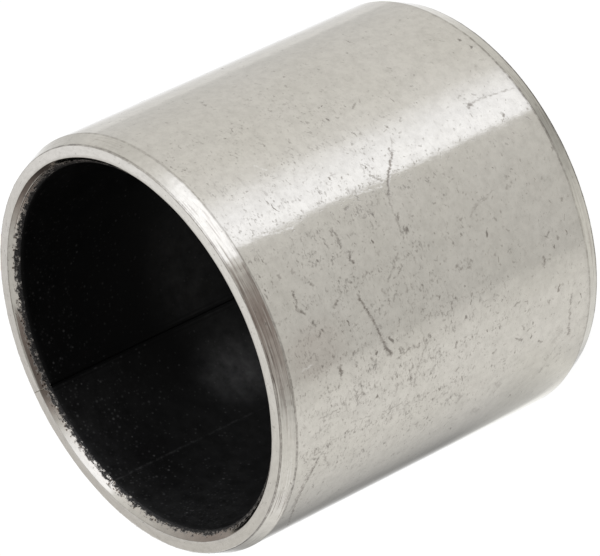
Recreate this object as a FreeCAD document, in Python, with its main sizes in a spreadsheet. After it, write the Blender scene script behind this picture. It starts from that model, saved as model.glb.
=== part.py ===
# Wrapped plain bushing: a steel strip with a thin black sliding lining, rolled into a straight sleeve.
# The sleeve stands on one end. Its axis is +Z and the centre of the bottom end is the origin.
# The ends of the rolled strip meet in a straight butt joint, which faces -Y.
import FreeCAD, Part
import os

import Sketcher

# Driving sizes, in millimetres and degrees: name, value, what it measures.
SIZES = [
    ("bore_diameter", 28.0, "shaft side, across the lining"),
    ("lining_thickness", 0.3, "porous metal filled and covered with black polymer"),
    ("backing_thickness", 1.7, "steel strip behind the lining"),
    ("sleeve_length", 30.2, "width of the strip: 30 nominal, cut 0.2 long, inside its tolerance of 0.25"),
    ("outer_bevel_length", 1.2, "along the axis, leads the sleeve into its housing"),
    ("outer_bevel_angle", 22.0, "between the outer bevel and the axis"),
    ("inner_bevel_width", 0.65, "across the wall, lets the shaft in"),
    ("inner_bevel_angle", 45.0, "between the inner bevel and the axis"),
    ("joint_gap", 0.08, "between the two ends of the strip"),
    ("joint_edge_bevel", 0.1, "broken edge of the strip's ends, outside and in the bore"),
]

# Radii and heights that the two layers share, worked out from the driving sizes.
BORE_RADIUS = "sizes.bore_diameter / 2"
INTERFACE_RADIUS = f"{BORE_RADIUS} + sizes.lining_thickness"
OUTER_RADIUS = f"{INTERFACE_RADIUS} + sizes.backing_thickness"
SHOULDER_RADIUS = f"{OUTER_RADIUS} - sizes.outer_bevel_length * tan(sizes.outer_bevel_angle * 1deg)"
MOUTH_RADIUS = f"{BORE_RADIUS} + sizes.inner_bevel_width"
MOUTH_DEPTH = "sizes.inner_bevel_width / tan(sizes.inner_bevel_angle * 1deg)"
INTERFACE_DEPTH = (
    "(sizes.inner_bevel_width - sizes.lining_thickness) / tan(sizes.inner_bevel_angle * 1deg)"
)
HALF_GAP = "sizes.joint_gap / 2"

# How a sketch numbers its own origin and its two axes.
ORIGIN = (-1, 1)
X_AXIS_INDEX, Y_AXIS_INDEX = -1, -2


def make_size_sheet(doc):
    """The table of driving sizes, one row and one alias each."""
    sheet = doc.addObject("Spreadsheet::Sheet", "sizes")
    for row, (name, value, meaning) in enumerate(SIZES, start=1):
        sheet.set(f"A{row}", name)
        sheet.set(f"B{row}", str(value))
        sheet.set(f"C{row}", meaning)
        sheet.setAlias(f"B{row}", name)
    doc.recompute()
    return sheet


def new_sketch(body, name, plane_role):
    """An empty sketch on one of the body's own origin planes."""
    sketch = body.newObject("Sketcher::SketchObject", name)
    plane = next(o for o in body.Origin.OriginFeatures if o.Role == plane_role)
    sketch.AttachmentSupport = (plane, [""])
    sketch.MapMode = "FlatFace"
    return sketch


def start_of(edge):
    """How a sketch names the point where a line starts: the line's number, then 1."""
    return edge, 1


def end_of(edge):
    """How a sketch names the point where a line ends: the line's number, then 2."""
    return edge, 2


def draw_outline(sketch, corners):
    """A closed outline of straight edges. Each corner is a pair of formulas; edge 0 starts at corner 0."""
    points = []
    for across, along in corners:
        x, y = (float(sketch.evalExpression(formula)) for formula in (across, along))
        points.append(FreeCAD.Vector(x, y, 0))
    count = len(points)
    for edge in range(count):
        sketch.addGeometry(Part.LineSegment(points[edge], points[(edge + 1) % count]), False)
    for edge in range(count):
        next_edge = (edge + 1) % count
        sketch.addConstraint(Sketcher.Constraint("Coincident", *end_of(edge), *start_of(next_edge)))


def add_size(sketch, kind, name, first, second, formula):
    """A named distance from the first point to the second, along one axis, that follows a formula."""
    value = float(sketch.evalExpression(formula))
    number = sketch.addConstraint(Sketcher.Constraint(kind, *first, *second, value))
    sketch.renameConstraint(number, name)
    sketch.setExpression(f"Constraints.{name}", formula)


def draw_backing_section(body):
    """Half section of the steel: each end has an outer bevel, a flat face and part of the inner bevel."""
    sketch = new_sketch(body, "backing_section", "YZ_Plane")
    upper_bevel_start = "sizes.sleeve_length - sizes.outer_bevel_length"
    draw_outline(sketch, [
        (MOUTH_RADIUS, "0"),
        (SHOULDER_RADIUS, "0"),
        (OUTER_RADIUS, "sizes.outer_bevel_length"),
        (OUTER_RADIUS, upper_bevel_start),
        (SHOULDER_RADIUS, "sizes.sleeve_length"),
        (MOUTH_RADIUS, "sizes.sleeve_length"),
        (INTERFACE_RADIUS, f"sizes.sleeve_length - {INTERFACE_DEPTH}"),
        (INTERFACE_RADIUS, INTERFACE_DEPTH),
    ])
    bottom_face, lower_outer_bevel, outside, upper_outer_bevel = range(4)
    top_face, upper_inner_bevel, inside, lower_inner_bevel = range(4, 8)
    for edge in (bottom_face, top_face):
        sketch.addConstraint(Sketcher.Constraint("Horizontal", edge))
    for edge in (outside, inside):
        sketch.addConstraint(Sketcher.Constraint("Vertical", edge))
    sketch.addConstraint(Sketcher.Constraint("PointOnObject", *start_of(bottom_face), X_AXIS_INDEX))
    sketch.addConstraint(Sketcher.Constraint("Vertical", *start_of(bottom_face), *end_of(top_face)))
    sketch.addConstraint(Sketcher.Constraint("Vertical", *end_of(bottom_face), *start_of(top_face)))
    sketch.addConstraint(Sketcher.Constraint("Equal", lower_outer_bevel, upper_outer_bevel))
    sketch.addConstraint(Sketcher.Constraint("Equal", lower_inner_bevel, upper_inner_bevel))
    mouth, shoulder = start_of(bottom_face), end_of(bottom_face)
    add_size(sketch, "DistanceX", "mouth_radius", ORIGIN, mouth, MOUTH_RADIUS)
    add_size(sketch, "DistanceX", "shoulder_radius", ORIGIN, shoulder, SHOULDER_RADIUS)
    add_size(sketch, "DistanceX", "outer_radius", ORIGIN, start_of(outside), OUTER_RADIUS)
    add_size(sketch, "DistanceX", "interface_radius", ORIGIN, start_of(inside), INTERFACE_RADIUS)
    add_size(sketch, "DistanceY", "length", ORIGIN, start_of(top_face), "sizes.sleeve_length")
    add_size(sketch, "DistanceY", "outer_bevel", ORIGIN, start_of(outside), "sizes.outer_bevel_length")
    add_size(sketch, "DistanceY", "inner_bevel", ORIGIN, end_of(inside), INTERFACE_DEPTH)
    return sketch


def draw_lining_section(body):
    """Half section of the lining: a thin band whose ends are cut by the same inner bevels."""
    sketch = new_sketch(body, "lining_section", "YZ_Plane")
    draw_outline(sketch, [
        (BORE_RADIUS, MOUTH_DEPTH),
        (INTERFACE_RADIUS, INTERFACE_DEPTH),
        (INTERFACE_RADIUS, f"sizes.sleeve_length - {INTERFACE_DEPTH}"),
        (BORE_RADIUS, f"sizes.sleeve_length - {MOUTH_DEPTH}"),
    ])
    lower_bevel, bonded_side, upper_bevel, sliding_side = range(4)
    for edge in (bonded_side, sliding_side):
        sketch.addConstraint(Sketcher.Constraint("Vertical", edge))
    sketch.addConstraint(Sketcher.Constraint("Equal", lower_bevel, upper_bevel))
    bonded_bottom, bonded_top = start_of(bonded_side), end_of(bonded_side)
    bore_bottom = start_of(lower_bevel)
    add_size(sketch, "DistanceX", "bore_radius", ORIGIN, bore_bottom, BORE_RADIUS)
    add_size(sketch, "DistanceX", "interface_radius", ORIGIN, bonded_bottom, INTERFACE_RADIUS)
    add_size(sketch, "DistanceY", "bore_start", ORIGIN, bore_bottom, MOUTH_DEPTH)
    add_size(sketch, "DistanceY", "bonded_start", ORIGIN, bonded_bottom, INTERFACE_DEPTH)
    add_size(
        sketch, "DistanceY", "bonded_end", ORIGIN, bonded_top,
        f"sizes.sleeve_length - ({INTERFACE_DEPTH})",
    )
    return sketch


def draw_joint_section(body, name, plain_end, neck, flare_end):
    """Section of the butt joint across the wall: a parallel gap that flares at 45 degrees from its neck.

    The three formulas are distances from the axis, towards -Y. The plain end and the flare's end lie
    clear of the layer on either side, so that the cut goes right through it.
    """
    sketch = new_sketch(body, name, "XY_Plane")
    flare = f"{HALF_GAP} + 2 * sizes.joint_edge_bevel"
    draw_outline(sketch, [
        (HALF_GAP, f"-({plain_end})"),
        (HALF_GAP, f"-({neck})"),
        (flare, f"-({flare_end})"),
        (f"-({flare})", f"-({flare_end})"),
        (f"-({HALF_GAP})", f"-({neck})"),
        (f"-({HALF_GAP})", f"-({plain_end})"),
    ])
    right_wall, right_flare, flare_mouth, left_flare, left_wall, plain_mouth = range(6)
    sketch.addConstraint(Sketcher.Constraint("Vertical", right_wall))
    for right, left in (
        (start_of(right_wall), start_of(plain_mouth)),
        (start_of(right_flare), start_of(left_wall)),
        (start_of(flare_mouth), start_of(left_flare)),
    ):
        sketch.addConstraint(Sketcher.Constraint("Symmetric", *right, *left, Y_AXIS_INDEX))
    add_size(sketch, "DistanceX", "half_gap", ORIGIN, start_of(right_wall), HALF_GAP)
    add_size(sketch, "DistanceX", "half_flare", ORIGIN, start_of(flare_mouth), flare)
    add_size(sketch, "DistanceY", "plain_end", start_of(right_wall), ORIGIN, plain_end)
    add_size(sketch, "DistanceY", "neck", start_of(right_flare), ORIGIN, neck)
    add_size(sketch, "DistanceY", "flare_end", start_of(flare_mouth), ORIGIN, flare_end)
    return sketch


def turn_about_axis(body, name, section):
    """The half section swept once round the sleeve's axis."""
    ring = body.newObject("PartDesign::Revolution", name)
    ring.Profile = section
    ring.ReferenceAxis = (section, ["V_Axis"])
    ring.Angle = 360.0
    return ring


def cut_joint(body, name, section):
    """The joint's gap, cut along the whole sleeve from the bottom end up."""
    gap = body.newObject("PartDesign::Pocket", name)
    gap.Profile = section
    gap.Reversed = True
    gap.Length = float(body.evalExpression("sizes.sleeve_length"))
    gap.setExpression("Length", "sizes.sleeve_length")
    body.Tip = gap
    return gap


def make_steel_backing(doc):
    """Outer layer: steel strip, rolled, with a bevel outside and inside at each end."""
    body = doc.addObject("PartDesign::Body", "steel_backing")
    body.Label = "steel_backing"
    ring = turn_about_axis(body, "backing_ring", draw_backing_section(body))
    doc.recompute()
    joint = draw_joint_section(
        body, "backing_joint_section",
        plain_end=BORE_RADIUS,
        neck=f"{OUTER_RADIUS} - sizes.joint_edge_bevel",
        flare_end=f"{OUTER_RADIUS} + sizes.joint_edge_bevel",
    )
    cut_joint(body, "backing_joint", joint)
    return body, ring


def make_sliding_lining(doc):
    """Inner layer: bonded to the steel, split at the same joint, its edge broken on the bore side."""
    body = doc.addObject("PartDesign::Body", "sliding_lining")
    body.Label = "sliding_lining"
    ring = turn_about_axis(body, "lining_ring", draw_lining_section(body))
    doc.recompute()
    joint = draw_joint_section(
        body, "lining_joint_section",
        plain_end=OUTER_RADIUS,
        neck=f"{BORE_RADIUS} + sizes.joint_edge_bevel",
        flare_end=f"{BORE_RADIUS} - sizes.joint_edge_bevel",
    )
    cut_joint(body, "lining_joint", joint)
    return body, ring


def check_model(doc, layers):
    """Stops if a feature failed, a sketch is loose, a layer is unsound or the joint removed nothing."""
    for item in doc.Objects:
        if {"Invalid", "Error"} & set(item.State):
            raise RuntimeError(f"{item.Name} failed: {item.State}")
        if item.TypeId == "Sketcher::SketchObject" and not item.FullyConstrained:
            raise RuntimeError(f"{item.Name} is not fully constrained")
    for body, ring in layers:
        shape = body.Shape
        if shape.isNull() or not shape.isValid() or len(shape.Solids) != 1:
            raise RuntimeError(f"{body.Label} is not one valid solid")
        if not shape.Volume < ring.Shape.Volume:
            raise RuntimeError(f"the joint of {body.Label} cut nothing")


def main():
    doc = FreeCAD.newDocument("wrapped_bushing")
    make_size_sheet(doc)
    layers = [make_steel_backing(doc), make_sliding_lining(doc)]
    doc.recompute()
    check_model(doc, layers)
    os.makedirs("parts", exist_ok=True)
    for body, ring in layers:
        body.Shape.exportStep(os.path.join("parts", f"{body.Label}.step"))
        box = body.Shape.BoundBox
        print(body.Label, "volume", round(body.Shape.Volume, 3), "mm3, size",
              [round(length, 3) for length in (box.XLength, box.YLength, box.ZLength)])


main()
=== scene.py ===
"""A wrapped plain bushing: a split sleeve of tin-plated steel strip with a black sliding lining."""
import math
import bmesh
import bpy
import numpy as np
from mathutils import Matrix, Vector


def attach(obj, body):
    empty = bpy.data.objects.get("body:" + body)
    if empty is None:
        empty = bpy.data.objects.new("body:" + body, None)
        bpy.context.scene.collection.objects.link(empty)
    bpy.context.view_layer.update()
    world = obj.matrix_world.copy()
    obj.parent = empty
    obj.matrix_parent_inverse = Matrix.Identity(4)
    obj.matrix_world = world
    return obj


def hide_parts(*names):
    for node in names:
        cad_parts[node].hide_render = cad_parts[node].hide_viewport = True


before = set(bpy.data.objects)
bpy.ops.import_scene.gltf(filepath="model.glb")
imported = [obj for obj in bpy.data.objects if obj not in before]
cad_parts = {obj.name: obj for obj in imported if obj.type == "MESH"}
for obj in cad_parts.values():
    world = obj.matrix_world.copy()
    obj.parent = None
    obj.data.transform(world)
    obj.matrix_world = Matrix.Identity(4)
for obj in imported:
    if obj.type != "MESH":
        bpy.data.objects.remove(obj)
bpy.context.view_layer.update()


# Steel backing. The sleeve's body is a strip of 1.7 mm mild steel, rolled round a mandrel until its two ends
# meet in a straight butt joint at -Y. Both ends are then turned: a 22 degree lead-in outside, a flat ring,
# and a 45 degree bevel inside. Sizes are in millimetres.
OUTER_RADIUS = 16.0
RING_OUTER_RADIUS = 15.515
RING_INNER_RADIUS = 14.65
BOND_RADIUS = 14.3
LENGTH = 30.2
LEAD_IN = 1.2
BOND_DEPTH = 0.35
RING_DISH = 0.028
JOINT_HALF_GAP = 0.04
CLOSED_HALF_GAP = 0.0015
GROOVE_DEPTH = 0.006
COLUMNS = 720
WALL_ROWS = 64


def wander(angle, seed, size, slow, fast):
    """A closed wavy line round the sleeve: `size` mm high, with between `slow` and `fast` waves in a turn."""
    chance = np.random.default_rng(seed)
    total = np.zeros_like(angle)
    waves = np.unique(np.geomspace(slow, fast, 14).astype(int))
    for count in waves:
        total += np.sin(count * angle + chance.uniform(0, 2 * math.pi)) * chance.uniform(0.5, 1.0)
    return size * total / math.sqrt(len(waves) / 2)


def corner(before, at, after, radius, steps):
    """The points of a small arc that rounds off the profile's corner `at`, each an (r, z) pair of arrays."""
    a = np.stack(before) - np.stack(at)
    b = np.stack(after) - np.stack(at)
    a = a / np.linalg.norm(a, axis=0)
    b = b / np.linalg.norm(b, axis=0)
    half = np.arccos(np.clip((a * b).sum(0), -1, 1)) / 2
    reach = radius / np.tan(half)
    start = np.stack(at) + a * reach
    middle = (a + b) / np.linalg.norm(a + b, axis=0)
    centre = np.stack(at) + middle * radius / np.sin(half)
    end = np.stack(at) + b * reach
    points = []
    for step in range(steps + 1):
        share = step / steps
        chord = start * (1 - share) + end * share - centre
        points.append(centre + chord / np.linalg.norm(chord, axis=0) * radius)
    return points


def column_angles(radius, count):
    """Angles round the sleeve from one side of the joint to the other, for one ring of points."""
    edge = math.asin(JOINT_HALF_GAP / radius)
    return np.linspace(-math.pi / 2 + edge, 1.5 * math.pi - edge, count + 1)


def turned_piece(name, rows, count, ease):
    """A mesh turned round Z from closed profile rows. At the joint its edges are eased by `ease` mm, and the
    two flat joint faces all but touch."""
    verts = []
    for r, z in rows:
        angle = column_angles(float(np.mean(r)), count)
        verts.append(np.stack([r * np.cos(angle), r * np.sin(angle), z + 0 * angle], -1))
    verts = list(np.concatenate(verts))
    wide = count + 1
    deep = len(rows)
    faces = []
    for row in range(deep):
        after = (row + 1) % deep
        for col in range(count):
            faces.append((row * wide + col, row * wide + col + 1, after * wide + col + 1, after * wide + col))
    for col, side in ((0, 1), (count, -1)):
        section = np.array([(r[col], z[col]) for r, z in rows])
        middle = (section.min(0) + section.max(0)) / 2
        half = (section.max(0) - section.min(0)) / 2
        inset = middle + (section - middle) * (1 - ease / half)
        first = len(verts)
        verts += [np.array((side * CLOSED_HALF_GAP, -r, z)) for r, z in inset]
        for row in range(deep):
            after = (row + 1) % deep
            face = (row * wide + col, after * wide + col, first + after, first + row)
            faces.append(face if side > 0 else face[::-1])
        faces.append([first + row for row in range(deep)][::-side])
    verts = np.array(verts) / 1000
    mesh = bpy.data.meshes.new(name)
    mesh.from_pydata(verts.tolist(), [], faces)
    mesh.validate()
    piece = bpy.data.objects.new(name, mesh)
    bpy.context.scene.collection.objects.link(piece)
    mesh.shade_smooth()
    mesh.set_sharp_from_angle(angle=math.radians(32))
    return piece


# The turned edges run slightly untrue, as a lathe leaves them on a sleeve that isn't quite round.
turn = column_angles(OUTER_RADIUS, COLUMNS)
flat = np.ones_like(turn)
# nicks in the outer edge, as (degrees, depth in mm)
NICKS = ((69.6, 0.05), (79.6, 0.06), (37.0, 0.03), (140.0, 0.03), (221.0, 0.05), (300.0, 0.04))
# the fold beside that edge, as (mm down the lead-in, mm high)
FOLD = ((0.27, 0), (0.21, 0.004), (0.165, 0.022), (0.12, 0.002), (0.08, -0.023), (0.03, 0))


def end_rows(seed, upward, burr_size):
    """The rows of one turned end, from the wall to the bonding line, with z counted from that end inwards,
    how dark each row is drawn, and how many rows lie at the wall's edge and from there to the ring's."""
    edge_height = LEAD_IN + wander(turn, seed, 0.035, 2, 9) + wander(turn, seed + 7, 0.012, 15, 160)
    wall_edge = (OUTER_RADIUS * flat, edge_height)
    ring_outer = (RING_OUTER_RADIUS + wander(turn, seed + 1, 0.008, 2, 9), RING_DISH * flat)
    # the facing cut ran out a little on one side, where the lead-in reaches further in
    ring_outer[0][:] -= 0.07 * np.exp(-((np.degrees(turn) - 195) / 24) ** 2)
    ring_inner = (RING_INNER_RADIUS + wander(turn, seed + 2, 0.010, 2, 30), 0 * flat)
    ring_inner[0][:] -= 0.03 * np.exp(-((np.degrees(turn) - 172) / 18) ** 2)
    bond = (BOND_RADIUS * flat, BOND_DEPTH * flat)
    wall = (OUTER_RADIUS * flat, 4 * flat)
    inside = (BOND_RADIUS * flat, 4 * flat)
    points = corner(wall, wall_edge, ring_outer, 0.34, 4)
    lead = corner(wall_edge, ring_outer, ring_inner, 0.045, 6)
    # the burr that the facing tool pushes over the outer edge, with the nicks that it has had since
    burr = np.clip(wander(turn, seed + 3, burr_size, 20, 300) + 0.4 * burr_size, 0, 2.2 * burr_size)
    for degrees, size in NICKS:
        burr -= size * burr_size / 0.016 * np.exp(-((np.degrees(turn) - degrees) / 0.35) ** 2)
    lead = [p + np.stack([0.9 * burr, -0.30 * burr]) * w for p, w in zip(lead, (0, 0.5, 1, 1, 0.6, 0.2, 0))]
    slope = np.stack(ring_outer) - np.stack(wall_edge)
    slope = slope / np.linalg.norm(slope, axis=0)
    # rows close by on both sides keep the edge's darker line fine
    before = [points[0] + np.stack([0 * flat, 0.07 * flat]), points[0] + np.stack([0 * flat, 0.02 * flat])]
    behind = [points[-1] + 0.02 * slope, points[-1] + 0.07 * slope]
    between = [points[-1] * (1 - s) + lead[0] * s for s in (0.25, 0.5, 0.75)]
    # beside that burr the tool leaves a fold: a fine ridge and a groove, which come and go
    fold = np.clip(0.6 + wander(turn, seed + 9, 0.45, 3, 60), 0, 1)
    fold *= 0.2 + 0.8 * np.exp(-((np.degrees(turn) - 66) / 22) ** 4)
    outward = np.stack([-slope[1], slope[0]])
    close = [lead[0] - away * slope + high * fold * outward for away, high in FOLD]
    # the ring's inner corner is rounder where a file has taken its edge off
    filed = 0.055 + 0.28 * np.exp(-((np.degrees(turn) - 256) / 15) ** 2)
    ring = corner(ring_outer, ring_inner, bond, filed, 4)
    across = [lead[-1] * (1 - s) + ring[0] * s for s in (0.06, 0.25, 0.5, 0.75)]
    inner = [ring[-1] * (1 - s) + np.stack(bond) * s for s in (0.2, 0.6, 1.0)]
    # every row is drawn darker by its own share, the fold's groove most
    at_wall = before + points + behind
    at_ring = between + close + lead
    rows = at_wall + at_ring + across + ring + inner
    dark = [0, 0.2] + [0.5] * len(points) + [0.2, 0]
    dark += [0, 0, 0] + [0, 0, 0, 0.5, 1.4, 0.8] + [0.9, 1, 1, 1, 0.7, 0.4, 0.2]
    dark += [0, 0, 0, 0] + [0.3, 0.6, 0.6, 0.4, 0.2] + [0, 0, 0.3]
    if upward:
        rows = [np.stack([p[0], LENGTH - p[1]]) for p in rows]
    else:
        dark[0:2] = [0.10, 0.45]
    return rows, dark, (len(at_wall), len(at_wall) + len(at_ring))


upper, upper_dark, upper_edges = end_rows(11, True, 0.012)
lower, lower_dark, _ = end_rows(31, False, 0.004)
rows = list(lower[::-1])
for step in range(1, WALL_ROWS):
    share = step / WALL_ROWS
    height = lower[0][1] * (1 - share) + upper[0][1] * share
    # rolling leaves the wall a few microns untrue, which makes the reflections' edges waver
    level = 1 + 0.5 * math.sin(share * 9.0) * np.sin(3 * turn + 1.0)
    ripple = wander(turn + 0.35 * math.sin(share * 7.0), 51, 0.0016, 12, 60) * level
    fade = min(1.0, 6 * share, 6 * (1 - share))
    rows.append(np.stack([OUTER_RADIUS + ripple * fade, height]))
rows += upper
edge_dark = lower_dark[::-1] + [0] * (WALL_ROWS - 1) + upper_dark + [0] * 5
for step in range(1, 6):
    share = step / 6
    height = upper[-1][1] * (1 - share) + lower[-1][1] * share
    rows.append(np.stack([BOND_RADIUS * flat, height]))
steel_piece = turned_piece("steel_sleeve", rows, COLUMNS, 0.035)

# Handling marks on the wall, cut into the mesh as shallow grooves. Each is a line of (degrees, height in mm)
# points, with its half width in mm and how dark it is; where that is below 0, it is a scuff that is left
# uncut and painted near white, a painted highlight where it catches the light.
SCRATCHES = (
    (((62.6, 20.1), (65.0, 20.45), (68.0, 20.7), (72.0, 20.95), (76.0, 21.3), (80.4, 21.65)), 0.10, 1.0),
    (((62.6, 20.1), (63.6, 20.35), (65.2, 20.5)), 0.15, 1.0),
    (((60.3, 19.6), (60.9, 18.9), (61.6, 18.3), (60.8, 17.6)), 0.07, 0.6),
    (((61.4, 19.0), (63.0, 19.15)), 0.10, 0.75),
    (((50.0, 18.2), (54.0, 17.9), (58.0, 17.3), (60.4, 16.8), (61.0, 16.3)), 0.06, 0.5),
    (((59.0, 16.9), (64.5, 17.1)), 0.06, 0.45),
    (((99.5, 15.8), (103.2, 15.2), (106.5, 14.3), (109.5, 13.55), (110.6, 13.6)), 0.085, 0.8),
    (((88.0, 16.3), (92.0, 16.2), (97.5, 16.05), (100.2, 15.7)), 0.06, 0.5),
    (((109.5, 13.5), (113.2, 12.8)), 0.05, 0.4),
    (((12.5, 27.0), (20.0, 27.7), (27.0, 28.05), (33.0, 27.9), (38.0, 27.4), (42.3, 26.9)), 0.10, 0.85),
    (((24.0, 28.25), (30.0, 28.2), (36.0, 27.9), (40.5, 27.2)), 0.07, 0.6),
    (((63.6, 24.65), (65.6, 24.65)), 0.14, 1.0),
    (((63.5, 23.2), (64.6, 23.2)), 0.08, 0.7),
    (((62.0, 21.6), (64.2, 21.85)), 0.08, 0.7),
    (((78.4, 25.85), (79.2, 25.9)), 0.11, 1.0),
    (((82.0, 26.3), (83.7, 26.85), (85.6, 26.6), (88.0, 26.6)), 0.08, 0.85),
    (((92.6, 27.0), (93.4, 27.1)), 0.11, 0.8),
    (((87.6, 24.85), (88.1, 24.9)), 0.10, 0.8),
    (((80.2, 23.9), (81.3, 23.4)), 0.09, 0.75),
    (((81.6, 23.2), (83.0, 22.85), (84.6, 22.9)), 0.06, 0.6),
    (((88.2, 21.0), (89.4, 21.1), (91.0, 20.95)), 0.10, 0.95),
    (((93.0, 21.4), (95.0, 21.25), (98.2, 21.35)), 0.07, 0.75),
    (((94.8, 22.4), (96.8, 22.4)), 0.06, 0.6),
    (((77.5, 19.4), (79.0, 19.55)), 0.08, 0.6),
    (((80.2, 18.3), (81.2, 17.6), (82.5, 17.3)), 0.06, 0.6),
    (((89.0, 15.9), (90.8, 15.95)), 0.08, 0.7),
    (((149.0, 21.65), (151.4, 21.45)), 0.09, 0.75),
    (((66.0, 5.25), (68.0, 5.2)), 0.09, 0.8),
    (((72.7, 4.65), (73.5, 4.2)), 0.07, 0.7),
    (((41.0, 2.95), (44.0, 3.1)), 0.13, 0.65),
    (((44.0, 3.1), (50.0, 3.15), (54.4, 3.0)), 0.09, 0.6),
    (((41.5, 4.6), (43.2, 4.2)), 0.34, 0.22),
    (((27.5, 10.6), (29.5, 11.4)), 0.22, 0.35),
    (((36.0, 4.9), (37.2, 4.6)), 0.20, 0.3),
    (((34.6, 9.4), (36.3, 9.7)), 0.24, 0.3),
    (((55.0, 5.2), (55.5, 5.2)), 0.10, 0.6),
    (((50.6, 7.6), (52.2, 7.8)), 0.07, 0.5),
    (((120.6, 2.9), (121.2, 2.9)), 0.14, 0.45),
    (((86.3, 3.2), (86.9, 3.3)), 0.10, 0.5),
    (((89.5, 7.6), (88.6, 9.0), (87.7, 9.9)), 0.05, 0.35),
    (((110.0, 18.9), (111.2, 18.9)), 0.06, 0.4),
    (((110.6, 18.6), (110.6, 19.2)), 0.06, 0.4),
    (((106.4, 16.2), (104.6, 15.9), (103.6, 15.6)), 0.07, 0.5),
    (((111.8, 5.75), (112.3, 5.45)), 0.16, 0.75),
    (((112.3, 5.2), (112.5, 4.5), (112.2, 3.7), (111.8, 2.7), (111.2, 1.5)), 0.07, 0.45),
    (((125.4, 13.6), (126.6, 13.1)), 0.07, 0.6),
    (((86.0, 10.4), (87.6, 9.6), (88.6, 8.3)), 0.05, 0.4),
    (((46.8, 18.95), (48.4, 18.7)), 0.08, 0.6),
    (((42.4, 20.3), (44.2, 20.1)), 0.08, 0.65),
    (((54.4, 27.0), (54.2, 26.2), (54.5, 25.3)), 0.06, 0.5),
    (((37.5, 25.7), (39.5, 26.1), (41.8, 26.4)), 0.09, 0.5),
    (((48.6, 24.0), (48.0, 22.9), (47.6, 22.0)), 0.05, 0.4),
    (((91.8, 23.9), (92.8, 24.1)), 0.08, 0.6),
    (((93.2, 24.3), (93.6, 24.2)), 0.08, 0.6),
    (((45.4, 20.5), (46.5, 20.2)), 0.11, 0.6),
    (((80.8, 18.8), (82.5, 18.0), (84.0, 17.8), (85.6, 17.2)), 0.07, 0.5),
    (((76.0, 17.5), (79.8, 17.5)), 0.06, 0.4),
    (((93.4, 16.0), (94.4, 15.9)), 0.10, 0.7),
    (((75.9, 12.9), (76.2, 12.7)), 0.11, 0.6),
    (((75.0, 12.6), (75.2, 12.4)), 0.10, 0.6),
    (((76.3, 12.1), (76.6, 11.9)), 0.10, 0.5),
    (((75.2, 11.8), (75.6, 11.5)), 0.12, 0.6),
    (((74.3, 12.0), (74.4, 11.7)), 0.09, 0.5),
    (((62.0, 13.0), (62.4, 13.0)), 0.10, 0.85),
    (((37.0, 13.6), (38.6, 13.3)), 0.16, 0.4),
    (((38.8, 14.9), (40.4, 14.2)), 0.08, 0.4),
    (((48.5, 14.2), (48.9, 14.0)), 0.09, 0.6),
    (((70.8, 3.6), (71.3, 3.6)), 0.10, 0.7),
    (((79.5, 2.4), (80.2, 2.3)), 0.10, 0.6),
    (((47.6, 7.8), (49.0, 8.4)), 0.08, 0.8),
    (((43.6, 5.7), (44.5, 6.1)), 0.07, 0.7),
    (((31.6, 5.2), (33.0, 5.0)), 0.14, 0.4),
    (((34.8, 4.1), (35.8, 3.7)), 0.10, 0.4),
    (((74.1, 9.4), (74.6, 9.3)), 0.08, 0.7),
    (((64.4, 9.1), (66.0, 9.15)), 0.05, 0.4),
    (((90.6, 6.2), (91.3, 6.1)), 0.10, 0.5),
    (((48.0, 10.6), (48.6, 10.3)), 0.09, 0.6),
    (((59.0, 8.4), (59.5, 8.0)), 0.08, 0.5),
    (((101.0, 19.6), (101.7, 19.1)), 0.10, 0.6),
    (((88.5, 6.5), (89.2, 5.9)), 0.12, 0.45),
    (((218.0, 19.0), (228.0, 17.2), (236.0, 16.6)), 0.07, 0.6),
    (((250.0, 9.0), (253.0, 10.2), (260.0, 10.6)), 0.07, 0.6),
    (((196.0, 7.5), (199.0, 7.3)), 0.10, 0.8),
    (((300.0, 22.0), (311.0, 20.4), (318.0, 20.1)), 0.08, 0.6),
    (((331.0, 11.0), (333.0, 11.2)), 0.11, 0.8),
    (((341.0, 5.5), (349.0, 6.6)), 0.06, 0.5),
    (((62.7, 19.26), (61.5, 19.24)), 0.07, 0.8),
    (((61.6, 18.90), (60.8, 18.88)), 0.06, 0.7),
    (((61.9, 18.42), (60.8, 18.39)), 0.07, 0.8),
    (((61.7, 18.00), (60.8, 17.96)), 0.06, 0.7),
    (((61.5, 17.52), (60.4, 17.50)), 0.06, 0.75),
    (((62.3, 17.04), (61.4, 16.99)), 0.06, 0.7),
    (((47.9, 20.46), (46.2, 20.32)), 0.09, 0.85),
    (((46.9, 21.01), (46.7, 20.20), (46.5, 19.03)), 0.05, 0.5),
    (((51.4, 18.62), (51.7, 18.17)), 0.06, 0.6),
    (((40.7, 14.06), (38.4, 13.40)), 0.06, 0.6),
    (((39.7, 14.77), (37.1, 14.31)), 0.05, 0.5),
    (((97.8, 21.57), (96.8, 21.59)), 0.08, 0.85),
    (((95.5, 21.38), (93.0, 21.42)), 0.06, 0.75),
    # the last five are scuffs, painted near white as their glint
    (((121.9, 23.5), (120.8, 23.3), (119.5, 23.0)), 0.07, -0.30),
    (((104.2, 26.6), (103.2, 25.6), (102.9, 24.8), (102.7, 23.8)), 0.06, -0.42),
    (((103.4, 17.9), (102.8, 16.9), (102.4, 15.9)), 0.06, -0.42),
    (((69.0, 27.8), (69.3, 27.0)), 0.07, -0.32),
    (((226.0, 12.0), (232.0, 12.5)), 0.06, -0.4),
)


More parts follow.
